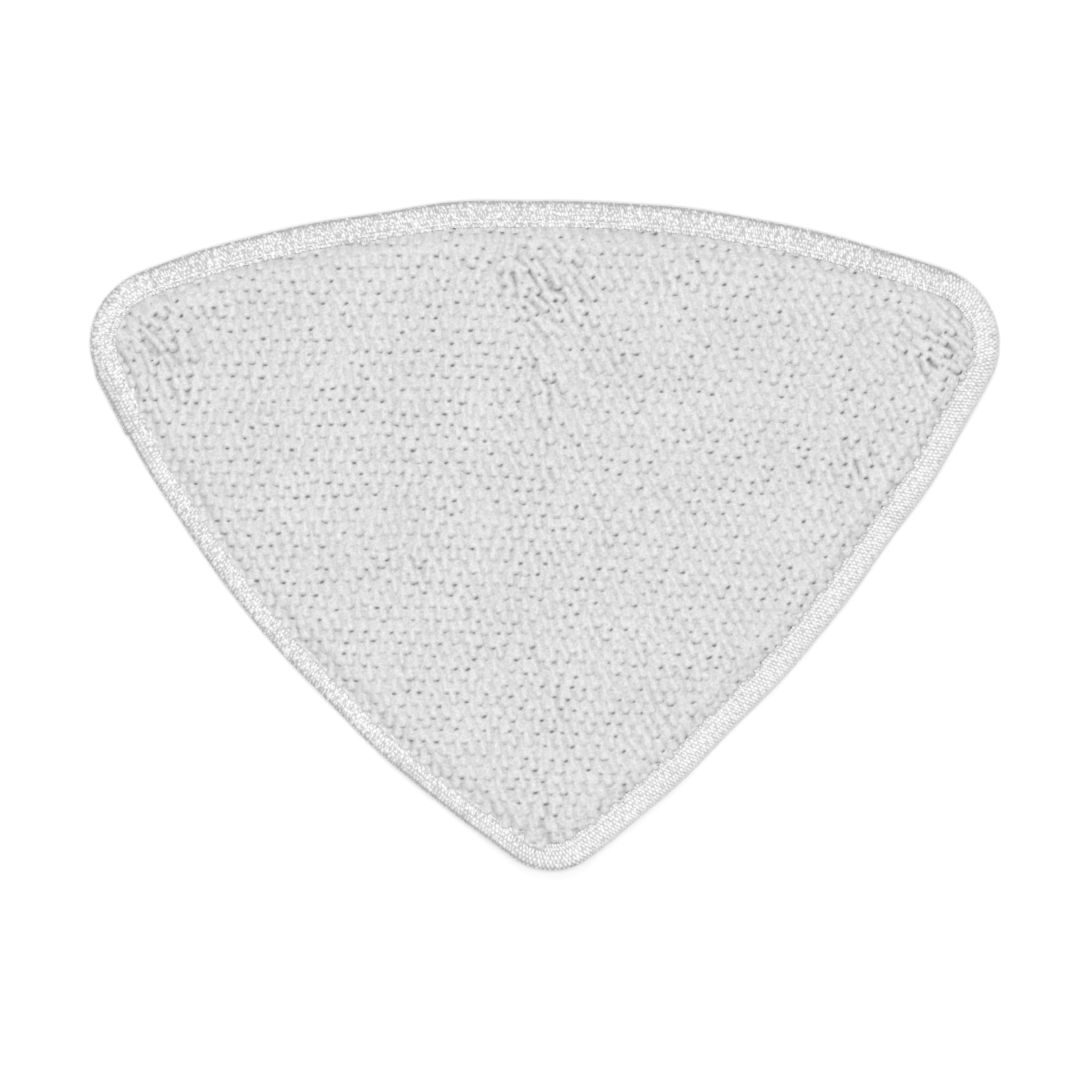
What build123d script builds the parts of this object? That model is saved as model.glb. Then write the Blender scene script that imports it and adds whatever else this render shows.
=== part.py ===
# Triangular microfibre pad for a steam mop, lying with its pile up.
# Millimetres. +X runs across the pad, +Y from the blunt tip to the long curved edge, +Z up through the pile.
# The origin is on the surface that the pad lies on, under the middle of its outline.
import os
from math import atan2, degrees, sqrt

from build123d import *

os.makedirs("parts", exist_ok=True)

# Outline over the binding: six arcs, each tangent to the next.
pad_width = 300.0
pad_length = 221.0
long_edge_radius = 390.0
corner_radius = 25.0
side_radius = 440.0
tip_radius = 21.0

# Binding: a woven tape folded round the raw edges and sewn through.
tape_thickness = 0.8
tape_cover = 9.0            # how far the folded tape reaches in over each face
tape_fold_radius = 1.6      # rounding of the fold
channel_clearance = 0.1     # between the raw edges and the inside of the fold
lap_thickness = 0.5         # the second layer where the tape's end lies over its start
lap_length = 22.0
lap_start = 4.0             # from the end of the corner's arc, down the side

# Thickness of each layer, squeezed under the tape and free in the field.
back_squeezed = 0.6
core_squeezed = 0.7
core_free = 2.5
ground_squeezed = 0.8
ground_free = 1.0
pile_height = 4.2
pile_shoulder = 3.0         # rounding of the pile's rim
ramp_width = 6.0            # the layers swell from squeezed to free over this width

# Seam: one row of lockstitch through tape, layers and tape.
stitch_pitch = 3.5
stitch_length = 2.7
thread_radius = 0.25
stitch_rounding = 0.2       # of the ends, where the thread dives into the cloth
seam_from_tape_edge = 2.0
seam_width = 0.8            # the row pulls a shallow channel into the tape
seam_depth_face = 0.25
seam_depth_back = 0.55
thread_clearance = 0.03     # between the thread and the floor of its channel

# Heights worked out from the layers.
channel_floor = tape_thickness
back_top = channel_floor + back_squeezed
core_margin_top = back_top + core_squeezed
core_top = back_top + core_free
ground_margin_top = core_margin_top + ground_squeezed
ground_top = core_top + ground_free
tape_top = ground_margin_top + tape_thickness
pile_top = ground_top + pile_height
raw_edge_inset = tape_thickness + channel_clearance
seam_inset = tape_cover - seam_from_tape_edge

# Centres of the outline's arcs, for the left half.
long_edge_centre = Vector(0, pad_length / 2 - long_edge_radius)
tip_centre = Vector(0, tip_radius - pad_length / 2)
corner_x = corner_radius - pad_width / 2
corner_rise = sqrt((long_edge_radius - corner_radius) ** 2 - corner_x**2)
corner_centre = Vector(corner_x, long_edge_centre.Y + corner_rise)


def side_arc_centre():
    """Centre of the circle that touches the corner's and the tip's circles from outside both."""
    to_corner = side_radius - corner_radius
    to_tip = side_radius - tip_radius
    base = tip_centre - corner_centre
    along = (to_corner**2 - to_tip**2 + base.length**2) / (2 * base.length)
    across = sqrt(to_corner**2 - along**2)
    direction = base.normalized()
    return corner_centre + direction * along + Vector(-direction.Y, direction.X) * across


side_centre = side_arc_centre()


def bearing(origin, target):
    """Angle of the line from origin to target, 0 to 360 degrees from +X."""
    return degrees(atan2(target.Y - origin.Y, target.X - origin.X)) % 360


long_edge_end = bearing(long_edge_centre, corner_centre)
side_begin = bearing(side_centre, corner_centre)
side_end = bearing(side_centre, tip_centre)


def outline(inset):
    """Draw the pad's outline, moved inwards by inset, as a closed line."""
    CenterArc(long_edge_centre, long_edge_radius - inset, 90, long_edge_end - 90)
    CenterArc(corner_centre, corner_radius - inset, long_edge_end, side_begin - long_edge_end)
    CenterArc(side_centre, side_radius - inset, side_begin, side_end - side_begin)
    CenterArc(tip_centre, tip_radius - inset, side_end, 270 - side_end)
    mirror(about=Plane.YZ)


def pad_plate(inset, bottom, top, mode=Mode.ADD):
    """Extrude the outline at an inset between two heights."""
    with BuildSketch(Plane.XY.offset(bottom)) as plan:
        with BuildLine():
            outline(inset)
        make_face()
    extrude(plan.sketch, amount=top - bottom, mode=mode)


def swollen_plate(bottom, margin_top, field_top):
    """A layer from the tape's inner edge inwards that swells from its margin to its field."""
    pad_plate(tape_cover, bottom, field_top)
    top_face = faces().sort_by(Axis.Z)[-1]
    chamfer(top_face.edges(), length=ramp_width, length2=field_top - margin_top, reference=top_face)


# Loop-knit back: the whole back face, flush with the tape that frames it.
with BuildPart() as back_loop_knit:
    pad_plate(raw_edge_inset, channel_floor, back_top)
    pad_plate(tape_cover, 0, channel_floor)

# Absorbent wadding between the two cloths.
with BuildPart() as core_wadding:
    swollen_plate(back_top, core_margin_top, core_top)
    pad_plate(raw_edge_inset, back_top, core_margin_top)

# Ground knit of the face cloth, which holds the loops.
with BuildPart() as face_ground_knit:
    swollen_plate(back_top, ground_margin_top, ground_top)
    pad_plate(raw_edge_inset, core_margin_top, ground_margin_top)
    add(core_wadding.part, mode=Mode.SUBTRACT)

# Pile: the space that the loops fill above the ground knit.
with BuildPart() as pile_loops:
    pad_plate(tape_cover, back_top, pile_top)
    fillet(edges().group_by(Axis.Z)[-1], pile_shoulder)
    add(core_wadding.part, mode=Mode.SUBTRACT)
    add(face_ground_knit.part, mode=Mode.SUBTRACT)

# Binding tape: one folded strip all the way round, its end lapped over its start on the left side.
lap_turn = degrees(lap_length / side_radius)
lap_bearing = side_begin + degrees(lap_start / side_radius)

with BuildPart() as edge_binding_tape:
    pad_plate(0, 0, tape_top)
    fillet(edges().filter_by(Plane.XY), tape_fold_radius)
    with BuildSketch():
        with BuildLine():
            outer = CenterArc(side_centre, side_radius + lap_thickness, lap_bearing, lap_turn)
            inner = CenterArc(side_centre, side_radius - tape_cover, lap_bearing, lap_turn)
            Line(outer @ 0, inner @ 0)
            Line(outer @ 1, inner @ 1)
        make_face()
    extrude(amount=tape_top + lap_thickness)
    lap_folds = edges(Select.LAST).filter_by(GeomType.CIRCLE)
    lap_folds = lap_folds.filter_by(lambda edge: edge.radius > side_radius)
    fillet(lap_folds, tape_fold_radius)
    pad_plate(tape_cover, 0, tape_top + lap_thickness, mode=Mode.SUBTRACT)
    pad_plate(tape_thickness, channel_floor, ground_margin_top, mode=Mode.SUBTRACT)
    for groove_floor, groove_mouth in (
        (tape_top - seam_depth_face, tape_top + lap_thickness),
        (0, seam_depth_back),
    ):
        with BuildSketch(Plane.XY.offset(groove_floor)):
            with BuildLine():
                outline(seam_inset - seam_width / 2)
            make_face()
            with BuildLine():
                outline(seam_inset + seam_width / 2)
            make_face(mode=Mode.SUBTRACT)
        extrude(amount=groove_mouth - groove_floor, mode=Mode.SUBTRACT)

# One stretch of thread between two needle holes, along +Z, its ends rounded where it dives.
with BuildPart() as stitch:
    Cylinder(thread_radius, stitch_length)
    fillet(edges().filter_by(GeomType.CIRCLE), stitch_rounding)


def seam_places(height):
    """Evenly spaced places along the seam, each turned along it."""
    with BuildLine() as seam:
        outline(seam_inset)
    path = seam.wire().moved(Location((0, 0, height)))
    count = round(path.length / stitch_pitch)
    return path.locations([number / count for number in range(count)])


with BuildPart() as needle_thread_stitches:
    with Locations(*seam_places(tape_top - seam_depth_face + thread_clearance + thread_radius)):
        add(stitch.part)

with BuildPart() as bobbin_thread_stitches:
    with Locations(*seam_places(seam_depth_back - thread_clearance - thread_radius)):
        add(stitch.part)

pieces = {
    "back_loop_knit": back_loop_knit,
    "core_wadding": core_wadding,
    "face_ground_knit": face_ground_knit,
    "pile_loops": pile_loops,
    "edge_binding_tape": edge_binding_tape,
    "needle_thread_stitches": needle_thread_stitches,
    "bobbin_thread_stitches": bobbin_thread_stitches,
}
for name, piece in pieces.items():
    piece.part.label = name
    export_step(piece.part, f"parts/{name}.step")
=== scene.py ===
import math

import bmesh
import bpy
import numpy as np
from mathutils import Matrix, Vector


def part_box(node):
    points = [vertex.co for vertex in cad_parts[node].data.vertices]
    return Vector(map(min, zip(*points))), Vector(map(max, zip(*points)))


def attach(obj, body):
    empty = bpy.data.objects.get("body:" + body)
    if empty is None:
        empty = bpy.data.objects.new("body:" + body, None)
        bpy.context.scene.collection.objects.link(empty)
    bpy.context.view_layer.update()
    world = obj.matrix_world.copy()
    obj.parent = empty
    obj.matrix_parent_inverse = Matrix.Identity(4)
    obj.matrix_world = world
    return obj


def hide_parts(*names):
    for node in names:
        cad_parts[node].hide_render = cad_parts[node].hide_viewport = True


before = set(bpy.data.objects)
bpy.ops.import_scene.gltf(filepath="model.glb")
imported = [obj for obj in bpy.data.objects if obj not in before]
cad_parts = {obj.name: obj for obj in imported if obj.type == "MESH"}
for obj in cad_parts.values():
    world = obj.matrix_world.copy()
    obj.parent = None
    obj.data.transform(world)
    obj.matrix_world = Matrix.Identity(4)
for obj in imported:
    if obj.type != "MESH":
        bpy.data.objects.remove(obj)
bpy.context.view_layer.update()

mm = 0.001

# The outline over the binding: six arcs, each tangent to the next, sized by the tape's own box.
outline = {
    "longEdgeRadius": 390 * mm,
    "cornerRadius": 25 * mm,
    "sideRadius": 440 * mm,
    "tipRadius": 21 * mm,
    "tapeCover": 9 * mm,      # how far the folded tape reaches in over the face
}

# How the limp pad lies: slightly out of true, as cloth does.
lie = {
    "tipDrift": 1.6 * mm,         # the tip is pulled to the right
    "bellyDrift": -0.9 * mm,      # and the sides bow to the left above it
    "tipLift": 1.6 * mm,          # the tip stands off the surface
    "tipLiftReach": 22 * mm,
    "edgeWander": 0.35 * mm,      # unevenness of the cut edge
    "edgeLift": 0.5 * mm,         # waves in the bound edge
    "creasePlace": 1.5 * mm,      # folded once for packing, this far right of the middle
    "creaseDepth": 0.6 * mm,
    "creaseWidth": 5 * mm,
}


def hexColour(code):
    channels = [int(code[i:i + 2], 16) / 255 for i in (1, 3, 5)]
    linear = [c / 12.92 if c <= 0.04045 else ((c + 0.055) / 1.055) ** 2.4 for c in channels]
    return (*linear, 1.0)


tapeLow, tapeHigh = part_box("edge_binding_tape")
_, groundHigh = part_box("face_ground_knit")
_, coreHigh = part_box("core_wadding")
backLow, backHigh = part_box("back_loop_knit")
needleLow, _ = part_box("needle_thread_stitches")
bobbinLow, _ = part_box("bobbin_thread_stitches")


def circlesBetween(first, firstReach, second, secondReach):
    # the point at both distances, on the right of the line from first to second
    base = second - first
    span = np.hypot(*base)
    along = (firstReach ** 2 - secondReach ** 2 + span ** 2) / (2 * span)
    across = math.sqrt(firstReach ** 2 - along ** 2)
    direction = base / span
    return first + direction * along + np.array([-direction[1], direction[0]]) * across


def makeArcs():
    long, corner = outline["longEdgeRadius"], outline["cornerRadius"]
    side, tip = outline["sideRadius"], outline["tipRadius"]
    longCentre = np.array([0.0, tapeHigh.y - long])
    tipCentre = np.array([0.0, tapeLow.y + tip])
    cornerX = tapeHigh.x - corner
    cornerY = longCentre[1] + math.sqrt((long - corner) ** 2 - cornerX ** 2)
    cornerLeft = np.array([-cornerX, cornerY])
    sideLeft = circlesBetween(cornerLeft, side - corner, tipCentre, side - tip)
    flip = np.array([-1.0, 1.0])

    def bearing(start, end):
        return math.atan2(end[1] - start[1], end[0] - start[0]) % (2 * math.pi)

    longEnd = bearing(longCentre, cornerLeft)
    sideBegin = bearing(sideLeft, cornerLeft)
    sideEnd = bearing(sideLeft, tipCentre)
    turn = 3 * math.pi
    # each arc: centre, radius, first and last bearing, anticlockwise from the right end of the long edge
    return [
        (longCentre, long, math.pi - longEnd, longEnd),
        (cornerLeft, corner, longEnd, sideBegin),
        (sideLeft, side, sideBegin, sideEnd),
        (tipCentre, tip, sideEnd, turn - sideEnd),
        (sideLeft * flip, side, turn - sideEnd, turn - sideBegin),
        (cornerLeft * flip, corner, turn - sideBegin, turn - longEnd),
    ]


arcs = makeArcs()
arcRef = outline["tapeCover"] / 2      # lengths along the edge are taken down the middle of the tape
arcLengths = np.array([(r - arcRef) * (b - a) for _, r, a, b in arcs])
arcStarts = np.concatenate([[0.0], np.cumsum(arcLengths)])
edgeLength = float(arcStarts[-1])


def onEdge(along, inset):
    # point and outward normal at a distance along the edge, moved in by inset
    along, inset = np.broadcast_arrays(np.asarray(along, float) % edgeLength, np.asarray(inset, float))
    point = np.zeros(along.shape + (2,))
    normal = np.zeros(along.shape + (2,))
    index = np.clip(np.searchsorted(arcStarts, along, side="right") - 1, 0, len(arcs) - 1)
    for number, (centre, radius, first, last) in enumerate(arcs):
        here = index == number
        angle = first + (along[here] - arcStarts[number]) / arcLengths[number] * (last - first)
        out = np.stack([np.cos(angle), np.sin(angle)], -1)
        normal[here] = out
        point[here] = centre + out * (radius - inset[here])[:, None]
    return point, normal


def insetOf(x, y):
    # how far a point lies inside the edge
    best = np.full(np.shape(x), 1.0)
    for centre, radius, first, last in arcs:
        dx, dy = x - centre[0], y - centre[1]
        angle = np.arctan2(dy, dx)
        middle, half = (first + last) / 2, (last - first) / 2
        off = np.abs((angle - middle + math.pi) % (2 * math.pi) - math.pi)
        gap = radius - np.hypot(dx, dy)
        best = np.where(off <= half + 0.01, np.minimum(best, gap), best)
    return best


def bearingAlong(x, y):
    # distance along the edge of the point of the edge nearest to x, y, for points near the edge
    found = np.zeros(np.shape(x))
    best = np.full(np.shape(x), 1.0)
    for number, (centre, radius, first, last) in enumerate(arcs):
        dx, dy = x - centre[0], y - centre[1]
        middle, half = (first + last) / 2, (last - first) / 2
        off = (np.arctan2(dy, dx) - middle + math.pi) % (2 * math.pi) - math.pi
        gap = radius - np.hypot(dx, dy)
        take = (np.abs(off) <= half + 0.01) & (gap < best)
        best = np.where(take, gap, best)
        found = np.where(take, arcStarts[number] + (off + half) / (2 * half) * arcLengths[number], found)
    return found


def waves(x, y, seed, size, count=9):
    # smooth random field of about unit height, with bumps of the given size
    pick = np.random.default_rng(seed)
    total = np.zeros(np.shape(x))
    for _ in range(count):
        heading = pick.uniform(0, 2 * math.pi)
        rate = 2 * math.pi / (size * pick.uniform(0.7, 1.5))
        ahead = x * math.cos(heading) + y * math.sin(heading)
        total = total + np.sin(rate * ahead + pick.uniform(0, 2 * math.pi))
    return total / math.sqrt(count / 2) * 0.7


def edgeWaves(along, seed, size, count=7):
    # the same along the edge, closing on itself
    pick = np.random.default_rng(seed)
    total = np.zeros(np.shape(along))
    for _ in range(count):
        turns = max(1, round(edgeLength / (size * pick.uniform(0.6, 1.6))))
        total = total + np.sin(2 * math.pi * turns * along / edgeLength + pick.uniform(0, 2 * math.pi))
    return total / math.sqrt(count / 2) * 0.7


def smoothStep(low, high, value):
    part = np.clip((value - low) / (high - low), 0, 1)
    return part * part * (3 - 2 * part)


def stretch(value, begin, full, ebb, end):
    # rises to 1 between begin and full, and falls back to 0 between ebb and end
    return smoothStep(begin, full, value) * (1 - smoothStep(ebb, end, value))


def settle(points):
    # moves points of the flat pad to where the limp pad has them
    x, y, z = points[:, 0].copy(), points[:, 1].copy(), points[:, 2].copy()
    tipY, topY = tapeLow.y, tapeHigh.y
    share = (y - tipY) / (topY - tipY)      # 0 at the tip, 1 at the long edge
    inset = insetOf(x, y)
    along = bearingAlong(x, y)
    rim = 1 - smoothStep(0, 22 * mm, inset)
    _, out = onEdge(along, 0)
    wander = edgeWaves(along, 11, 62 * mm) * lie["edgeWander"] * rim
    drift = lie["tipDrift"] * np.exp(-(share / 0.16) ** 2)
    drift = drift + lie["bellyDrift"] * np.exp(-((share - 0.42) / 0.2) ** 2)
    x = x + drift + out[:, 0] * wander
    y = y + out[:, 1] * wander
    lift = lie["tipLift"] * np.exp(-((y - tipY) / lie["tipLiftReach"]) ** 2)
    lift = lift + lie["edgeLift"] * rim * (0.5 + 0.5 * edgeWaves(along, 12, 55 * mm)).clip(0, 1)
    crease = np.exp(-((x - lie["creasePlace"]) / lie["creaseWidth"]) ** 2)
    crease = crease * (0.55 + 0.45 * np.cos(share * 7 + 0.4))      # deeper here and there along its length
    z = z + lift - lie["creaseDepth"] * crease * smoothStep(2 * mm, 6 * mm, points[:, 2])
    return np.stack([x, y, z], -1)


def addMesh(name, points, faces, material, **values):
    mesh = bpy.data.meshes.new(name)
    mesh.from_pydata(np.asarray(points).tolist(), [], faces)
    mesh.update()
    mesh.shade_smooth()
    for key, column in values.items():
        layer = mesh.attributes.new(key, "FLOAT", "POINT")
        layer.data.foreach_set("value", np.asarray(column, np.float32).ravel())
    piece = bpy.data.objects.new(name, mesh)
    bpy.context.scene.collection.objects.link(piece)
    mesh.materials.append(material)
    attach(piece, "root")
    return piece


def gridFaces(columns, rows, wrapColumns, wrapRows):
    # quads over a grid of points stored column by column
    c = np.arange(columns if wrapColumns else columns - 1)
    r = np.arange(rows if wrapRows else rows - 1)
    c, r = np.meshgrid(c, r, indexing="ij")
    nextC, nextR = (c + 1) % columns, (r + 1) % rows
    quads = [c * rows + r, nextC * rows + r, nextC * rows + nextR, c * rows + nextR]
    return np.stack([q.ravel() for q in quads], -1)


def addNode(tree, kind, inputs=None, links=None, **settings):
    node = tree.nodes.new(kind)
    for key, value in settings.items():
        setattr(node, key, value)
    for key, value in (inputs or {}).items():
        node.inputs[key].default_value = value
    for key, source in (links or {}).items():
        tree.links.new(source, node.inputs[key])
    return node


def startMaterial(name, **shader):
    material = bpy.data.materials.new(name)
    material.use_nodes = True
    tree = material.node_tree
    surface = tree.nodes["Principled BSDF"]
    for key, value in shader.items():
        surface.inputs[key.replace("_", " ")].default_value = value
    return material, tree, surface


def makeMicrofibre():
    # split polyester and polyamide fibre, twisted into loops and tumbled: dead matt, pale bloom at the rims
    material, tree, surface = startMaterial(
        "splitMicrofibrePile", Roughness=0.92, IOR=1.5, Specular_IOR_Level=0.25,
        Sheen_Weight=0.3, Sheen_Roughness=0.55, Sheen_Tint=hexColour("#F8F8F8"))
    place = addNode(tree, "ShaderNodeTexCoord")
    tone = addNode(tree, "ShaderNodeAttribute", attribute_name="tone")
    rise = addNode(tree, "ShaderNodeAttribute", attribute_name="rise")
    # clumps of split fibre: the real ones are 0.1 mm across, and 0.8 mm is the finest that still reads
    clumps = addNode(tree, "ShaderNodeTexNoise", {"Scale": 1 / (0.8 * mm), "Detail": 3.0, "Roughness": 0.65},
                     {"Vector": place.outputs["Object"]})
    spread = addNode(tree, "ShaderNodeMath", {1: 2.4, 2: -1.2}, {0: clumps.outputs["Fac"]},
                     operation="MULTIPLY_ADD")
    shade = addNode(tree, "ShaderNodeMath", links={0: tone.outputs["Fac"], 1: spread.outputs[0]},
                    operation="ADD")
    colours = addNode(tree, "ShaderNodeValToRGB", links={"Fac": shade.outputs[0]})
    colours.color_ramp.elements[0].position = 0.1
    colours.color_ramp.elements[0].color = hexColour("#D3D3D3")
    colours.color_ramp.elements[1].position = 0.9
    colours.color_ramp.elements[1].color = hexColour("#EBEBEB")
    # painted shade: between loops and in hollows the colour is darkened, where shade falls; the ridges keep
    # their full colour
    depth = addNode(tree, "ShaderNodeValToRGB", links={"Fac": rise.outputs["Fac"]})
    depth.color_ramp.elements[0].position = 0.0
    depth.color_ramp.elements[0].color = hexColour("#9C9C9C")
    depth.color_ramp.elements[1].position = 0.72
    depth.color_ramp.elements[1].color = hexColour("#FFFFFF")
    shaded = depth.color_ramp.elements.new(0.38)
    shaded.color = hexColour("#EDEDED")
    mixed = addNode(tree, "ShaderNodeMix", {"Factor": 1.0}, data_type="RGBA", blend_type="MULTIPLY")
    tree.links.new(colours.outputs["Color"], mixed.inputs["A"])
    tree.links.new(depth.outputs["Color"], mixed.inputs["B"])
    tree.links.new(mixed.outputs["Result"], surface.inputs["Base Color"])
    fuzz = addNode(tree, "ShaderNodeTexNoise", {"Scale": 1 / (0.6 * mm), "Detail": 3.0, "Roughness": 0.7},
                   {"Vector": place.outputs["Object"]})
    relief = addNode(tree, "ShaderNodeBump", {"Strength": 1.0, "Distance": 0.45 * mm},
                     {"Height": fuzz.outputs["Fac"]})
    tree.links.new(relief.outputs["Normal"], surface.inputs["Normal"])
    return material


def makeTapeCloth():
    # bright polyester filament woven into a ribbed tape: satin, with small hard glints on each float
    material, tree, surface = startMaterial(
        "wovenPolyesterTape", Roughness=0.42, IOR=1.52, Specular_IOR_Level=0.5,
        Sheen_Weight=0.1, Sheen_Roughness=0.4)
    place = addNode(tree, "ShaderNodeTexCoord")
    relief = addNode(tree, "ShaderNodeAttribute", attribute_name="relief")
    # the weave is a little uneven over some 6 mm
    noise = addNode(tree, "ShaderNodeTexNoise", {"Scale": 1 / (6 * mm), "Detail": 2.0},
                    {"Vector": place.outputs["Object"]})
    spread = addNode(tree, "ShaderNodeMath", {1: 0.3}, {0: noise.outputs["Fac"]}, operation="MULTIPLY")
    shade = addNode(tree, "ShaderNodeMath", links={0: relief.outputs["Fac"], 1: spread.outputs[0]},
                    operation="ADD")
    # painted shade: the relief attribute darkens the weave's low places, the lines between the cords and the
    # fold's rim, and keeps the raised floats light; down the right side the rim is lightened as painted light
    colours = addNode(tree, "ShaderNodeValToRGB", links={"Fac": shade.outputs[0]})
    colours.color_ramp.elements[0].position = 0.15
    colours.color_ramp.elements[0].color = hexColour("#A9A9A9")
    colours.color_ramp.elements[1].position = 0.75
    colours.color_ramp.elements[1].color = hexColour("#E0E0E0")
    tree.links.new(colours.outputs["Color"], surface.inputs["Base Color"])
    # single filaments, 0.5 mm to a bundle
    fine = addNode(tree, "ShaderNodeTexNoise", {"Scale": 1 / (0.5 * mm), "Detail": 2.0},
                   {"Vector": place.outputs["Object"]})
    bump = addNode(tree, "ShaderNodeBump", {"Strength": 0.25, "Distance": 0.1 * mm},
                   {"Height": fine.outputs["Fac"]})
    tree.links.new(bump.outputs["Normal"], surface.inputs["Normal"])
    return material


def makeThread():
    # spun polyester sewing thread: two plies, satin
    material, tree, surface = startMaterial("spunPolyesterThread", Roughness=0.5, IOR=1.52, Sheen_Weight=0.15)
    place = addNode(tree, "ShaderNodeTexCoord")
    # the twist shows as light and dark every 1.2 mm
    noise = addNode(tree, "ShaderNodeTexNoise", {"Scale": 1 / (1.2 * mm), "Detail": 2.0},
                    {"Vector": place.outputs["Object"]})
    colours = addNode(tree, "ShaderNodeValToRGB", links={"Fac": noise.outputs["Fac"]})
    colours.color_ramp.elements[0].color = hexColour("#E2E2E2")
    colours.color_ramp.elements[1].color = hexColour("#F8F8F8")
    tree.links.new(colours.outputs["Color"], surface.inputs["Base Color"])
    return material


def makeKnit(name, low, high, wale, roughness):
    # weft-knitted polyester: rows of small stitches, matt
    material, tree, surface = startMaterial(name, Roughness=roughness, IOR=1.5, Specular_IOR_Level=0.3,
                                            Sheen_Weight=0.3, Sheen_Roughness=0.6)
    place = addNode(tree, "ShaderNodeTexCoord")
    bars = [addNode(tree, "ShaderNodeTexWave", {"Scale": scale / wale, "Distortion": 1.2, "Detail": 1.0},
                    {"Vector": place.outputs["Object"]}, bands_direction=direction)
            for direction, scale in (("X", 0.31), ("Y", 0.24))]
    height = addNode(tree, "ShaderNodeMath", links={0: bars[0].outputs["Fac"], 1: bars[1].outputs["Fac"]},
                     operation="MULTIPLY")
    colours = addNode(tree, "ShaderNodeValToRGB", links={"Fac": height.outputs[0]})
    colours.color_ramp.elements[0].color = hexColour(low)
    colours.color_ramp.elements[1].color = hexColour(high)
    tree.links.new(colours.outputs["Color"], surface.inputs["Base Color"])
    bump = addNode(tree, "ShaderNodeBump", {"Strength": 0.6, "Distance": 0.3 * mm},
                   {"Height": height.outputs[0]})
    tree.links.new(bump.outputs["Normal"], surface.inputs["Normal"])
    return material


def makeWadding():
    # needled polyester web: loose fibre in all directions, no gloss at all
    material, tree, surface = startMaterial(
        "needledPolyesterWadding", Roughness=0.97, IOR=1.5, Specular_IOR_Level=0.2,
        Sheen_Weight=0.4, Sheen_Roughness=0.7)
    place = addNode(tree, "ShaderNodeTexCoord")
    # swirls of fibre, 4 mm across
    fibre = addNode(tree, "ShaderNodeTexNoise",
                    {"Scale": 1 / (4 * mm), "Detail": 6.0, "Roughness": 0.75, "Distortion": 2.5},
                    {"Vector": place.outputs["Object"]})
    colours = addNode(tree, "ShaderNodeValToRGB", links={"Fac": fibre.outputs["Fac"]})
    colours.color_ramp.elements[0].position = 0.3
    colours.color_ramp.elements[0].color = hexColour("#DADAD6")
    colours.color_ramp.elements[1].position = 0.7
    colours.color_ramp.elements[1].color = hexColour("#F1F1EE")
    tree.links.new(colours.outputs["Color"], surface.inputs["Base Color"])
    bump = addNode(tree, "ShaderNodeBump", {"Strength": 0.7, "Distance": 0.4 * mm},
                   {"Height": fibre.outputs["Fac"]})
    tree.links.new(bump.outputs["Normal"], surface.inputs["Normal"])
    return material


def makeFloorPaint():
    # matt white paper sweep
    material, tree, surface = startMaterial("matPaperSweep", Roughness=0.9, Specular_IOR_Level=0.1)
    place = addNode(tree, "ShaderNodeTexCoord")
    # faint unevenness over 25 mm
    noise = addNode(tree, "ShaderNodeTexNoise", {"Scale": 1 / (25 * mm), "Detail": 2.0},
                    {"Vector": place.outputs["Object"]})
    colours = addNode(tree, "ShaderNodeValToRGB", links={"Fac": noise.outputs["Fac"]})
    colours.color_ramp.elements[0].color = hexColour("#EFEFEF")
    colours.color_ramp.elements[1].color = hexColour("#F2F2F2")
    tree.links.new(colours.outputs["Color"], surface.inputs["Base Color"])
    return material


studio = {
    "cameraHeight": 1.1,
    "frameWidth": 356 * mm,            # how much the camera sees across, at the height of the pile
    "padOffset": (1.6 * mm, 1.6 * mm), # the pad sits this far right of and above the middle of the view
    "skyStrength": 0.29,
    "topPower": 38.5,                  # broad light straight above
    "topSize": 1.65,
    "topPlace": (0.0, -0.12, 2.0),
    "keyPower": 8.0,                   # smaller one beyond the long edge
    "keySize": 1.05,
    "keyPlace": (-0.3, 1.42, 1.5),
}


def addSoftBox(name, power, size, place):
    light = bpy.data.objects.new(name, bpy.data.lights.new(name, "AREA"))
    bpy.context.scene.collection.objects.link(light)
    light.data.size = size
    light.data.energy = power
    light.location = place
    light.rotation_euler = (-light.location).to_track_quat("-Z", "Y").to_euler()


def buildStudio():
    scene = bpy.context.scene
    camera = bpy.data.objects.new("overheadCamera", bpy.data.cameras.new("overheadCamera"))
    scene.collection.objects.link(camera)
    offset = studio["padOffset"]
    camera.location = (-offset[0], -offset[1], studio["cameraHeight"])
    reach = studio["cameraHeight"] - tapeHigh.z
    camera.data.sensor_width = 36.0
    camera.data.lens = camera.data.sensor_width * reach / studio["frameWidth"]
    camera.data.clip_end = 20.0
    camera.data.dof.use_dof = False
    scene.camera = camera

    world = bpy.data.worlds.new("lightTent")
    scene.world = world
    world.use_nodes = True
    sky = world.node_tree.nodes["Background"]
    sky.inputs["Color"].default_value = hexColour("#FFFFFF")
    sky.inputs["Strength"].default_value = studio["skyStrength"]

    addSoftBox("topBox", studio["topPower"], studio["topSize"], studio["topPlace"])
    addSoftBox("keyBox", studio["keyPower"], studio["keySize"], studio["keyPlace"])

    floorMesh = bpy.data.meshes.new("paperSweep")
    half, under = 3.0, -0.05 * mm
    corners = [(-half, -half, under), (half, -half, under), (half, half, under), (-half, half, under)]
    floorMesh.from_pydata(corners, [], [(0, 1, 2, 3)])
    floor = bpy.data.objects.new("paperSweep", floorMesh)
    scene.collection.objects.link(floor)
    floorMesh.materials.append(makeFloorPaint())
    scene.view_settings.view_transform = "Standard"
    print("studio set")


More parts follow.
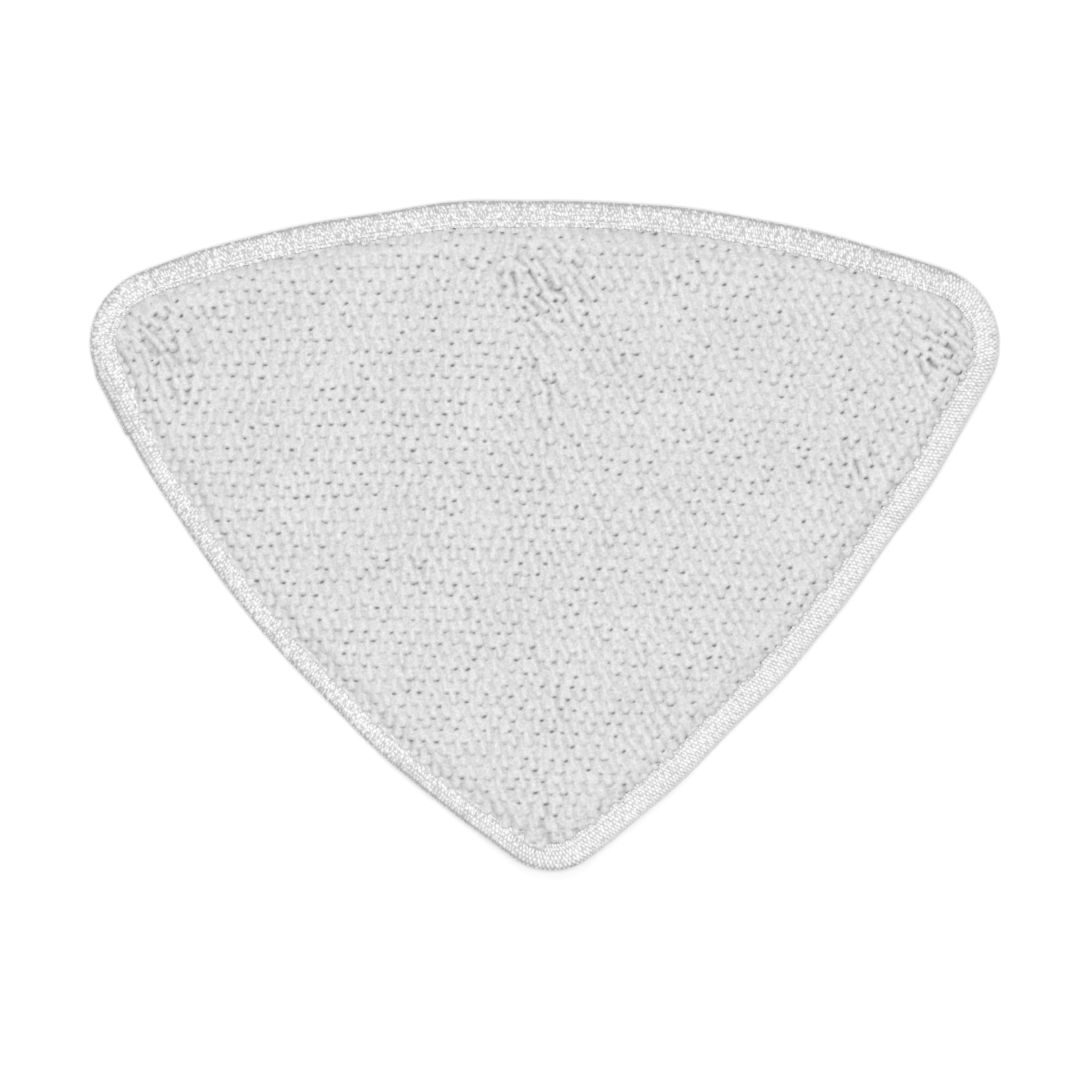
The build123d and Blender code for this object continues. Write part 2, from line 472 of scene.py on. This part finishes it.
tape = {
    "ribPitch": 1.21 * mm,       # from one rib to the next, along the tape
    "floatLength": 1.38 * mm,    # a rib's floats, across the tape
    "samplesPerRib": 4,
    "relief": 0.17 * mm,
    "shift": 0.24,               # of a float against its neighbours, in ribs
    "wander": 0.2,               # of the rows of floats, in rows
    "rimShade": 0.28,            # painted shade on the fold's rim, which turns away from the light
    "thickness": 0.62 * mm,
    "channelInset": 1.2 * mm,    # the space inside the fold, which the cloths' edges fill
    "channelFloor": 0.75 * mm,
    "channelTop": 2.95 * mm,
    "foldDepth": 2.3 * mm,       # how far in the fold's rounding begins
    "seamInset": 7.0 * mm,
    "seamDip": 0.22 * mm,
    "stitchPitch": 3.5 * mm,
    "puff": 0.28 * mm,           # the tape bulges between its seam and its fold
    "flatWidth": 20 * mm,
    "lapLength": 22 * mm,
    "lapStart": -1 * mm,
    "lapLift": 0.5 * mm,
    "lapStep": 0.75 * mm,
}


def tapeRows():
    # the outer face of the fold as a list of inset, height and distance round from the inner edge of the face
    top, cover, fold = tapeHigh.z - tape["lapLift"], outline["tapeCover"], tape["foldDepth"]
    fine = tape["floatLength"] / 3
    path = []
    inset = cover
    while inset > fold:
        path.append((inset, top))
        inset -= fine
    steps = 14
    for number in range(steps + 1):
        angle = math.pi / 2 - math.pi * number / steps
        squash = 0.82      # a fold is squarer than a half circle
        ca, sa = math.cos(angle), math.sin(angle)
        rise = math.copysign(abs(sa) ** squash, sa)
        path.append((fold - fold * abs(ca) ** squash, top / 2 + top / 2 * rise))
    # on the back it is plain but for its seam
    for inset in (tape["seamInset"] - 1.6 * mm, tape["seamInset"], cover):
        path.append((inset, 0.0))
    path = np.array(path)
    gaps = np.hypot(*np.diff(path, axis=0).T)
    around = np.concatenate([[0], np.cumsum(gaps)])
    return path, around


def weave(along, t, inset, phase):
    # how high the floats stand, 0 to 1, and how near the fold each point is
    # the weave is pulled about along the long edge and keeps its rows down the right side
    pulled = 1 - 0.6 * smoothStep(arcStarts[3] - 5 * mm, arcStarts[3] + 5 * mm, along)
    row = t / tape["floatLength"] + pulled * tape["wander"] * waves(along, t, 26, 4 * mm)
    brick = np.floor(row + 1e-6)
    within = row - brick
    floatBulge = np.clip(np.sin(math.pi * np.clip(within, 0, 1)) * 1.3, 0, 1)
    # no two floats are quite alike
    unlike = waves(along, t, 23, 5 * mm) + waves(along, t, 24, 1.6 * mm)
    phase = phase + pulled * tape["shift"] * unlike
    rib = np.cos(2 * math.pi * (phase + 0.5 * brick))
    relief = (0.5 + 0.5 * rib) * (0.25 + 0.75 * floatBulge)
    relief = relief * (1 + 0.45 * waves(along, t, 25, 2.2 * mm)).clip(0.3, 1.7)
    # down the left side and at the tip the fold is rolled up into view: its floats run together into cords
    nearFold = 1 - smoothStep(3.0 * mm, 4.4 * mm, inset)
    sideBegin, sideEnd = arcStarts[2], arcStarts[3]
    besideLap = stretch(along, sideBegin - 8 * mm, sideBegin, sideBegin + 30 * mm, sideBegin + 45 * mm)
    besideTip = stretch(along, sideEnd - 60 * mm, sideEnd - 40 * mm, sideEnd + 2 * mm, sideEnd + 8 * mm)
    cord = nearFold * (besideLap + besideTip)
    cords = np.sqrt(0.5 - 0.5 * np.cos(2 * math.pi * t / tape["floatLength"])) * (0.42 + 0.38 * rib)
    relief = relief * (1 - cord) + cord * cords
    return relief, nearFold


def paintedShadeAlongEdge(along):
    # weight of the painted shade at the fold's rim: full along the long edge, less down the left and at the
    # tip, and below zero down the right side, where it paints light
    paintedShadeWeight = 1 - 0.7 * smoothStep(arcStarts[1] - 5 * mm, arcStarts[1] + 5 * mm, along)
    paintedShadeWeight = paintedShadeWeight - 1.3 * smoothStep(arcStarts[4] - 5 * mm, arcStarts[4] + 5 * mm, along)
    return paintedShadeWeight + 2.0 * smoothStep(edgeLength - 10 * mm, edgeLength, along)


def tapeStrip(name, begin, end, lift, closed, material):
    # a stretch of the folded tape; lift raises it, where it lies over another layer of tape
    path, around = tapeRows()
    length = end - begin
    ribs = round(length / tape["ribPitch"])
    columns = ribs * tape["samplesPerRib"] + (0 if closed else 1)
    along = begin + length * np.arange(columns) / (ribs * tape["samplesPerRib"])
    along = along[:, None]
    inset, height, t = path[:, 0][None, :], path[:, 1][None, :], around[None, :]
    # direction out of the tape's face, in inset and height
    slope = np.gradient(path, axis=0)
    slope /= np.hypot(*slope.T)[:, None]
    outInset, outHeight = slope[:, 1], -slope[:, 0]
    outInset, outHeight = outInset[None, :], outHeight[None, :]
    relief, nearFold = weave(along, t, inset, (along - begin) / length * ribs)
    paintedShadeWeight = paintedShadeAlongEdge(along)
    # painted shade at the fold's rim, turned to painted light down the right side
    shade = relief - tape["rimShade"] * paintedShadeWeight * (1 - smoothStep(0.2 * mm, 1.8 * mm, inset))
    # painted shade: the whole tape a little darker along the long edge and less so down the left
    shade = shade - 0.09 * np.maximum(paintedShadeWeight, 0)
    onFace = smoothStep(0.4, 0.6, height / tapeHigh.z)
    toSeam = np.clip((tape["seamInset"] - inset) / (tape["seamInset"] - 1 * mm), 0, 1)
    puff = tape["puff"] * np.sin(math.pi * toSeam) * (0.8 + 0.35 * edgeWaves(along, 21, 18 * mm))
    dip = -tape["seamDip"] * np.exp(-((inset - tape["seamInset"]) / (0.7 * mm)) ** 2)
    stitch = 0.75 + 0.25 * np.cos(2 * math.pi * along / tape["stitchPitch"])
    rise = np.where(height > 1 * mm, (puff + dip * stitch) * onFace, 0)
    seamGroove = 0.5 * mm * np.exp(-((inset - tape["seamInset"]) / (0.9 * mm)) ** 2)
    backDip = np.where(height < 0.5 * mm, seamGroove, 0)
    push = tape["relief"] * relief * np.where(height < 0.2 * mm, 0.0, 1.0) + lift * (0.4 + 0.6 * nearFold)
    selvedge = np.where(t < 0.2 * mm, edgeWaves(along, 22, 6 * mm) * 0.25 * mm, 0)
    finalInset = inset + outInset * push + selvedge
    finalHeight = height + outHeight * push + rise + backDip
    finalHeight = np.maximum(finalHeight, 0)
    # the inside of the fold closes the strip
    inner = np.array([
        (outline["tapeCover"], tape["channelFloor"]),
        (tape["channelInset"], tape["channelFloor"]),
        (tape["channelInset"], tape["channelTop"]),
        (outline["tapeCover"], tapeHigh.z - tape["lapLift"] - tape["thickness"]),
    ])
    outerSize, innerSize = (columns, len(path)), (columns, len(inner))

    def joined(outerValues, innerValues):
        parts = [np.broadcast_to(outerValues, outerSize), np.broadcast_to(innerValues, innerSize)]
        return np.concatenate(parts, 1)

    allInset = joined(finalInset, inner[:, 0])
    allHeight = joined(finalHeight, inner[:, 1])
    # painted shade for the tape's colour, stored as its relief attribute
    paintedWeaveShade = joined(shade, 0.5)
    flat, _ = onEdge(np.broadcast_to(along, allInset.shape), allInset)
    points = np.concatenate([flat, allHeight[..., None]], -1).reshape(-1, 3)
    rows = allInset.shape[1]
    faces = gridFaces(columns, rows, closed, True).tolist()
    if not closed:
        faces.append(list(range(rows)))
        faces.append([(columns - 1) * rows + r for r in reversed(range(rows))])
    points = settle(points)
    return addMesh(name, points, faces, material, relief=paintedWeaveShade.ravel())


def buildTape():
    material = makeTapeCloth()
    ring = tapeStrip("bindingTape", 0.0, edgeLength, 0.0, True, material)
    start = arcStarts[2] + tape["lapStart"]
    lap = tapeStrip("bindingTapeLap", start, start + tape["lapLength"], tape["lapStep"], False, material)
    for piece in (ring, lap):
        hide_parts("edge_binding_tape")
    print("binding tape folded round the edge")


layers = {
    "ringsAtEdge": 8,
    "ringsInside": 40,
    "columns": 360,
    "deepInset": 15 * mm,
    "groundMargin": 2.95 * mm,   # height of the ground knit where the tape grips it
    "groundThick": 0.8 * mm,
    "centre": (0.0, 18 * mm),
    "clothArea": 0.0428,         # square metres of either cloth, laid flat
}

pile = {
    "across": 4.39 * mm,         # from one loop to the next along a row
    "between": 3.96 * mm,        # from one row to the next
    "columnSlant": 0.083,        # the columns slant to the right on their way to the tip
    "rowBow": 0.3 / 1000 / mm,   # and the rows droop to the right, from this far left of the middle
    "rowBowFrom": -70 * mm,
    "length": 8.5 * mm,          # of a loop as it lies, from its root to its tip
    "rootWidth": 1.1 * mm,       # half widths, near the root and near the tip
    "tipWidth": 1.42 * mm,
    "tipRound": 1.2 * mm,
    "thick": 1.15 * mm,          # how far a loop's sides fall away from its crown
    "tilt": 0.14,                # how fast a loop rises towards its tip
    "tipDrop": 0.8 * mm,
    "crown": 8.85 * mm,          # height of the tips in the field
    "crownAtLongEdge": 4.9 * mm, # where the loops come out from under the tape
    "crownAtTape": 5.2 * mm,     # and elsewhere at the tape, where everything is squeezed
    "valley": 1.22 * mm,         # loose fibre fills the gaps up to this far below the tips
    "unevenness": 0.16 * mm,     # of the loops' heights
    "jitter": 0.3 * mm,          # of the tips
    "leanJitter": 7.0,           # degrees
    "strandPitch": 0.85 * mm,    # plies of fibre along a loop
    "strand": 0.07 * mm,
    "fuzz": 0.11 * mm,           # roughness of the split fibre
    "pitDepth": 2.6 * mm,        # the hollow that some tips leave open
    "pitAcross": 0.66 * mm,
    "pitAlong": 0.34 * mm,
    "pitFrom": 0.15 * mm,        # past the tip
    "rimPit": 0.21,              # the deepest crease that a tip presses round itself, in pit depths
    "rimPlace": 1.16,            # where it runs and how wide it is, in tip widths
    "rimSpread": 0.24,
    "underside": 3.0 * mm,
    "grid": 0.34 * mm,
    "hollowBlur": 25,            # passes of blur that set how wide a hollow still reads as one in the painted shade
    # painted shade: a hollow this deep lowers rise by one
    "hollowScale": 1.6 * mm,
    "parts": 5,
    "edgeCrossLeft": 6.2 * mm,   # how far in from the edge the tips reach, where they lie over the tape
    "edgeCross": 8.2 * mm,       # and where they stop against it
}

# Places where handling has ruffled the pile: x, y, reach in mm, and how strongly.
ruffles = [
    (-7, 87, 8, 0.6),
    (5, 76, 9, 0.5),
    (1, 48, 10, 0.35),
    (44, 88, 7, 0.5),
    (130, 60, 12, 0.6),
    (104, 24, 8, 0.4),
    (-126, 60, 13, 0.45),
    (-40, -12, 8, 0.3),
    (42, -60, 9, 0.3),
    (1, -97, 6, 0.5),
]

# Places where it leans otherwise: x, y, reach across and along in mm, and degrees to the right.
leans = [
    (136, 62, 20, 20, 34),
    (5, 76, 12, 20, 30),
    (-16, 88, 8, 11, -24),
    (-128, 66, 18, 18, 40),
    (-104, 38, 12, 10, -22),
]


def leanOf(x, y):
    # which way the pile lies, in degrees to the right of straight towards the tip
    px, py = x / mm, y / mm
    base = 6 + 15 * smoothStep(-60, 50, px)
    for cx, cy, reachX, reachY, turn in leans:
        base = base + turn * np.exp(-(((px - cx) / reachX) ** 2 + ((py - cy) / reachY) ** 2))
    return base + 4 * waves(x, y, 31, 60 * mm) + 4 * waves(x, y, 32, 24 * mm)


def ruffleOf(x, y):
    total = np.zeros(np.shape(x))
    for px, py, reach, strength in ruffles:
        total += strength * np.exp(-((x / mm - px) ** 2 + (y / mm - py) ** 2) / reach ** 2)
    total += 0.12 * np.exp(-((x - lie["creasePlace"]) / lie["creaseWidth"]) ** 2)
    return np.clip(total, 0, 1)


def loopTips(pick):
    # staggered rows, a little slanted and bowed, as the knit lies
    margin = 16 * mm
    rows = np.arange(tapeLow.y - margin, tapeHigh.y + margin, pile["between"])
    spots = []
    for number, y in enumerate(rows):
        x = np.arange(tapeLow.x - margin, tapeHigh.x + margin, pile["across"])
        x = x + (number % 2) * pile["across"] / 2 - pile["columnSlant"] * y
        spots.append(np.stack([x, np.full_like(x, y)], -1))
    spots = np.concatenate(spots)
    spots[:, 1] -= pile["rowBow"] * np.maximum(spots[:, 0] - pile["rowBowFrom"], 0) ** 2
    spots[:, 1] += 1.0 * mm * waves(spots[:, 0], spots[:, 1] * 0.3, 42, 120 * mm)
    spots += 0.5 * mm * np.stack([waves(*spots.T, 46, 22 * mm), waves(*spots.T, 47, 18 * mm)], -1)
    unrest = (1 + 0.6 * waves(*spots.T, 48, 45 * mm)).clip(0.5, 2)
    stray = pile["jitter"] * unrest + 1.0 * mm * ruffleOf(*spots.T)
    return spots + pick.normal(0, 1, spots.shape) * stray[:, None]


def layLoops(pick):
    # each loop's root, heading, length, width and height: tips keep to their rows wherever loops lean
    tips = loopTips(pick)
    count = len(tips)
    ruffle = ruffleOf(*tips.T)
    spread = pick.normal(0, 1, count) * (pile["leanJitter"] + 9 * ruffle)
    lean = np.radians(leanOf(*tips.T) + spread)
    heading = np.stack([np.sin(lean), -np.cos(lean)], -1)
    length = pile["length"] * (1 + (0.02 + 0.1 * ruffle) * pick.normal(0, 1, count)).clip(0.7, 1.2)
    roots = tips - heading * length[:, None]

    cover = outline["tapeCover"]
    inset = insetOf(*roots.T)
    along = bearingAlong(*roots.T)
    _, out = onEdge(along, 0)
    away = -(out * heading).sum(-1)      # 1 where loops lie straight away from the tape
    keep = (inset > cover + 0.3 * mm) | ((away > 0.15) & (inset > cover - pile["length"] * away))

    # a loop whose tip would cross the tape is pushed back
    onLeft = (along > arcStarts[1]) & (along < arcStarts[3] + 0.2 * arcLengths[3])
    allowed = np.where(onLeft, pile["edgeCrossLeft"], pile["edgeCross"]) + pick.normal(0, 0.3 * mm, count)
    tipInset = insetOf(*tips.T)
    room = (inset - allowed) / np.maximum(inset - tipInset, 1 * mm)
    fits = np.where(tipInset < allowed, room, 1.0).clip(0.3, 1)
    length = length * np.where(inset < 24 * mm, fits, 1.0)
    loops = {
        "root": roots,
        "heading": heading,
        "length": length,
        "size": (1 + 0.07 * pick.normal(0, 1, count)).clip(0.85, 1.2) * (1 - 0.3 * ruffle),
        "lift": pick.normal(0, 1, count) * (pile["unevenness"] + 0.25 * mm * ruffle),
        "phase": pick.uniform(0, 2 * math.pi, count),
        "pit": 0.09 + 0.57 * pick.uniform(0, 1, count) ** 2.1,
        "crease": pile["rimPit"] * pick.uniform(0, 1, count) ** 1.2,
        "overTape": inset > cover,
    }
    return {key: column[keep] for key, column in loops.items()}


def crownHeight(x, y, inset):
    # the loops' tops: full height in the field, squeezed at the tape
    _, out = onEdge(bearingAlong(x, y), 0)
    lower = pile["crownAtLongEdge"] - pile["crownAtTape"]
    atTape = pile["crownAtTape"] + lower * smoothStep(0, 0.8, out[..., 1])
    rise = smoothStep(outline["tapeCover"] - 2 * mm, outline["tapeCover"] + 6 * mm, inset)
    return atTape + (pile["crown"] - atTape) * rise


def blur(field, times):
    for _ in range(times):
        for axis in (0, 1):
            field = 0.5 * field + 0.25 * (np.roll(field, 1, axis) + np.roll(field, -1, axis))
    return field


def pileEdge(x, y):
    # how far in from the edge the pile begins: at the tape's inner edge, but over the tape on the left
    part = (bearingAlong(x, y) - arcStarts[2]) / (arcStarts[3] - arcStarts[2])
    over = smoothStep(-0.05, 0.2, part) * (1 - smoothStep(0.85, 1.05, part))
    ragged = 0.35 * mm * waves(x, y, 45, 5 * mm)
    return outline["tapeCover"] - 0.3 * mm - over * (2.7 * mm + ragged)


def pileSurface(loops, pick):
    # the top of the pile on a fine grid: the highest loop, loose fibre between loops, hollows at tips
    grid = pile["grid"]
    xs = np.arange(tapeLow.x, tapeHigh.x, grid)
    ys = np.arange(tapeLow.y, tapeHigh.y, grid)
    gx, gy = np.meshgrid(xs, ys, indexing="ij")
    inset = insetOf(gx, gy)
    crown = crownHeight(gx, gy, inset)
    # depth is taken down from the crown
    depth = pile["valley"] * (1 + 1.2 * ruffleOf(gx, gy)) + 0.1 * mm * waves(gx, gy, 44, 3 * mm)
    covered = np.zeros(gx.shape, bool)
    pit = np.zeros(gx.shape)
    root, heading, length, size = loops["root"], loops["heading"], loops["length"], loops["size"]
    centre = root + heading * (length * 0.62)[:, None]
    column = np.round((centre[:, 0] - xs[0]) / grid).astype(int)
    row = np.round((centre[:, 1] - ys[0]) / grid).astype(int)
    reach = math.ceil(0.55 * pile["length"] / grid)
    for i in range(-reach, reach + 1):
        for j in range(-reach, reach + 1):
            c, r = column + i, row + j
            ok = (c >= 0) & (c < len(xs)) & (r >= 0) & (r < len(ys))
            c, r = c.clip(0, len(xs) - 1), r.clip(0, len(ys) - 1)
            dx, dy = xs[c] - root[:, 0], ys[r] - root[:, 1]
            f = dx * heading[:, 0] + dy * heading[:, 1]
            u = dx * heading[:, 1] - dy * heading[:, 0]
            # 0 where the tip's rounding starts, 1 at its end
            toTip = (f - length) / pile["tipRound"] + 1
            past = toTip.clip(0, 1)
            flare = (pile["tipWidth"] - pile["rootWidth"]) * smoothStep(0.3, 0.85, f / length)
            width = pile["rootWidth"] + flare
            width = width * size * np.sqrt(1 - past ** 2) + 1e-9
            side = u / width
            on = ok & (np.abs(side) < 1) & (f > 0)
            plies = 2 * math.pi * u / pile["strandPitch"] + loops["phase"] + 0.5 * f / mm
            strand = pile["strand"] * np.cos(plies)
            flank = pile["thick"] * (1 - np.sqrt(1 - np.minimum(np.abs(side), 1) ** 2))
            below = pile["tilt"] * (length - f) + flank + pile["tipDrop"] * past ** 2 - loops["lift"] + strand
            np.minimum.at(depth, (c[on], r[on]), below[on])
            over = on & loops["overTape"]
            covered[c[over], r[over]] = True
            gone = ((f - length - pile["pitFrom"]) / pile["pitAlong"]) ** 2 + (u / pile["pitAcross"]) ** 2
            rim = np.hypot(toTip, u / (pile["tipWidth"] * size)) - pile["rimPlace"]
            crease = loops["crease"] * past * np.exp(-(rim / pile["rimSpread"]) ** 2)
            hole = np.maximum(loops["pit"] * np.exp(-np.minimum(gone, 20)), crease)
            near = ok & (toTip > 0) & (hole > 0.002)
            np.maximum.at(pit, (c[near], r[near]), hole[near])
    depth = blur(depth, 1)
    depth = depth + pile["pitDepth"] * pit
    clumps = 1.6 * blur(pick.normal(0, 1, gx.shape), 1)
    depth = depth + pile["fuzz"] * (clumps + 0.45 * pick.normal(0, 1, gx.shape))
    inside = (inset > pileEdge(gx, gy)) | covered
    floor = np.where(inset > outline["tapeCover"], 3.2 * mm, tapeHigh.z - tape["lapLift"] + 0.25 * mm)
    height = np.maximum(crown - depth, floor)
    hollow = blur(height, pile["hollowBlur"]) - height      # how far a point lies below the pile round it
    return gx, gy, height, hollow, inside


def closeBelow(piece, floor):
    # turns an open sheet into a closed body that ends at the given height, with a sharp edge all round its top
    work = bmesh.new()
    work.from_mesh(piece.data)
    rim = [edge for edge in work.edges if edge.is_boundary]
    for edge in rim:
        edge.smooth = False
    drop = bmesh.ops.extrude_edge_only(work, edges=rim)["geom"]
    for item in drop:
        if isinstance(item, bmesh.types.BMVert):
            item.co.z = min(floor, item.co.z - 0.1 * mm)
    bmesh.ops.holes_fill(work, edges=[item for item in drop if isinstance(item, bmesh.types.BMEdge)])
    work.to_mesh(piece.data)
    work.free()


def buildPile():
    pick = np.random.default_rng(41)
    loops = layLoops(pick)
    gx, gy, height, hollow, inside = pileSurface(loops, pick)
    whole = inside[:-1, :-1] & inside[1:, :-1] & inside[1:, 1:] & inside[:-1, 1:]
    middle = (gx[:-1, :-1] + gx[1:, 1:]) / 2
    number = np.arange(gx.size).reshape(gx.shape)
    corners = np.stack([number[:-1, :-1], number[1:, :-1], number[1:, 1:], number[:-1, 1:]], -1)
    flat = np.stack([gx, gy, height], -1).reshape(-1, 3)
    tone = (0.5 + 0.04 * waves(gx, gy, 43, 40 * mm)).ravel()
    # painted shade: rise falls where a point lies below the pile round it, and the pile's colour darkens there
    rise = (0.6 - hollow / pile["hollowScale"]).clip(0, 1).ravel()
    material = makeMicrofibre()
    borders = np.quantile(middle[whole], np.linspace(0, 1, pile["parts"] + 1)[1:-1])
    strip = np.searchsorted(borders, middle, side="right")
    pieces = []
    for part in range(pile["parts"]):
        faces = corners[whole & (strip == part)]
        used, index = np.unique(faces, return_inverse=True)
        quads = index.reshape(faces.shape).tolist()
        piece = addMesh(f"pileLoops{part + 1}", settle(flat[used]), quads, material,
                        tone=tone[used], rise=rise[used])
        closeBelow(piece, pile["underside"])
        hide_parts("pile_loops")
        pieces.append(piece)
    print("pile laid:", len(loops["root"]), "loops")
    return pieces


def layerSurface(edgeInset):
    # a disc-like grid: rings that follow the outline near the edge and shrink to the middle inside it
    columns = layers["columns"]
    along = edgeLength * np.arange(columns) / columns
    insets = np.linspace(edgeInset, layers["deepInset"], layers["ringsAtEdge"])
    rings = [onEdge(along, np.full(columns, inset))[0] for inset in insets]
    centre = np.array(layers["centre"])
    for number in range(1, layers["ringsInside"]):
        keep = 1 - number / layers["ringsInside"]
        rings.append(centre + (rings[layers["ringsAtEdge"] - 1] - centre) * keep)
    return np.array(rings), centre


def buildLayer(name, edgeInset, lowHeight, highHeight, material):
    # a closed cloth: its underside and its top, joined round the edge
    rings, centre = layerSurface(edgeInset)
    count, columns = rings.shape[:2]
    flat = rings.reshape(-1, 2)
    low = np.concatenate([flat, lowHeight(flat)[:, None]], 1)
    high = np.concatenate([flat, highHeight(flat)[:, None]], 1)
    middle = np.array([[*centre, lowHeight(centre[None])[0]], [*centre, highHeight(centre[None])[0]]])
    points = np.concatenate([low, high, middle])
    size = count * columns
    sheetFaces = gridFaces(count, columns, False, True)
    faces = sheetFaces.tolist() + (sheetFaces[:, ::-1] + size).tolist()
    for k in range(columns):
        nextK = (k + 1) % columns
        last = (count - 1) * columns
        faces.append([last + k, 2 * size, last + nextK][::-1])
        faces.append([size + last + k, 2 * size + 1, size + last + nextK])
        faces.append([k, nextK, size + nextK, size + k])
    return addMesh(name, settle(points), faces, material)


def swell(flat, marginHeight, fieldHeight):
    # from squeezed under the tape to free in the field
    inset = insetOf(flat[:, 0], flat[:, 1])
    ramp = smoothStep(outline["tapeCover"] - 1 * mm, layers["deepInset"], inset)
    return marginHeight + (fieldHeight - marginHeight) * ramp


def buildLayers():
    marginGround = layers["groundMargin"]
    marginCore = marginGround - layers["groundThick"]

    def undersideHeight(flat):
        inset = insetOf(flat[:, 0], flat[:, 1])
        field = smoothStep(outline["tapeCover"] - 0.4 * mm, outline["tapeCover"] + 0.4 * mm, inset)
        nap = 0.12 * mm * (1 + waves(flat[:, 0], flat[:, 1], 51, 4 * mm))
        return np.maximum(0.02 * mm, 0.8 * mm * (1 - field) + nap * field)

    def coreTop(flat):
        return swell(flat, marginCore, coreHigh.z) + 0.12 * mm * waves(flat[:, 0], flat[:, 1], 52, 9 * mm)

    def groundTop(flat):
        return swell(flat, marginGround, groundHigh.z) + 0.1 * mm * waves(flat[:, 0], flat[:, 1], 53, 3 * mm)

    def gap(height, space):
        return lambda flat: height(flat) + space

    def level(height):
        return lambda flat: np.full(len(flat), height)

    back = buildLayer("loopKnitBack", 1.3 * mm, undersideHeight, level(backHigh.z - 0.05 * mm),
                      makeKnit("brushedLoopKnit", "#CFCFCF", "#F0F0F0", 1.6 * mm, 0.95))
    core = buildLayer("waddingCore", 1.5 * mm, level(backHigh.z + 0.02 * mm), coreTop, makeWadding())
    ground = buildLayer("groundKnit", 1.3 * mm, gap(coreTop, 0.05 * mm), groundTop,
                        makeKnit("pileGroundKnit", "#C6C6C6", "#DEDEDE", 1.4 * mm, 0.95))
    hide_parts("back_loop_knit")
    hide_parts("core_wadding")
    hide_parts("face_ground_knit")
    print("cloths and wadding laid")
    return back, ground


stitches = {
    "length": 2.9 * mm,
    "radius": 0.22 * mm,
    "rings": 9,
    "around": 8,
}


def stitchRow(name, height, dive, material):
    count = round(edgeLength / tape["stitchPitch"])
    rings, around = stitches["rings"], stitches["around"]
    share = np.linspace(-1, 1, rings)
    start = edgeLength * np.arange(count) / count
    along = start[:, None] + share[None, :] * stitches["length"] / 2
    flat, out = onEdge(along, np.full(along.shape, tape["seamInset"]))
    sink = dive * np.abs(share) ** 4
    fat = stitches["radius"] * np.sqrt(np.clip(1 - np.abs(share) ** 6, 0.05, 1))
    turn = np.linspace(0, 2 * math.pi, around, endpoint=False)
    twist = 1 + 0.14 * np.cos(2 * turn[None, :] - 7 * share[:, None])
    across = fat[:, None] * np.cos(turn)[None, :] * twist
    up = fat[:, None] * np.sin(turn)[None, :] * twist
    xy = flat[:, :, None, :] + out[:, :, None, :] * across[None, :, :, None]
    z = np.broadcast_to((height - sink)[None, :, None] + up[None], xy.shape[:3])
    points = np.concatenate([xy, z[..., None]], -1).reshape(-1, 3)
    ringFaces = gridFaces(rings, around, False, True)
    ends = np.array([list(range(around)), [(rings - 1) * around + k for k in reversed(range(around))]])
    starts = (np.arange(count) * rings * around)[:, None, None]
    faces = (ringFaces[None] + starts).reshape(-1, 4).tolist()
    faces = faces + (ends[None] + starts).reshape(-1, around).tolist()
    piece = addMesh(name, settle(points), faces, material)
    return piece


def buildStitches():
    material = makeThread()
    face = stitchRow("needleThread", needleLow.z + 0.35 * mm, 0.5 * mm, material)
    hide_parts("needle_thread_stitches")
    back = stitchRow("bobbinThread", bobbinLow.z + 0.3 * mm, -0.4 * mm, material)
    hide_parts("bobbin_thread_stitches")
    print("seam sewn")


buildStudio()
buildTape()
backCloth, groundCloth = buildLayers()
pilePieces = buildPile()
buildStitches()
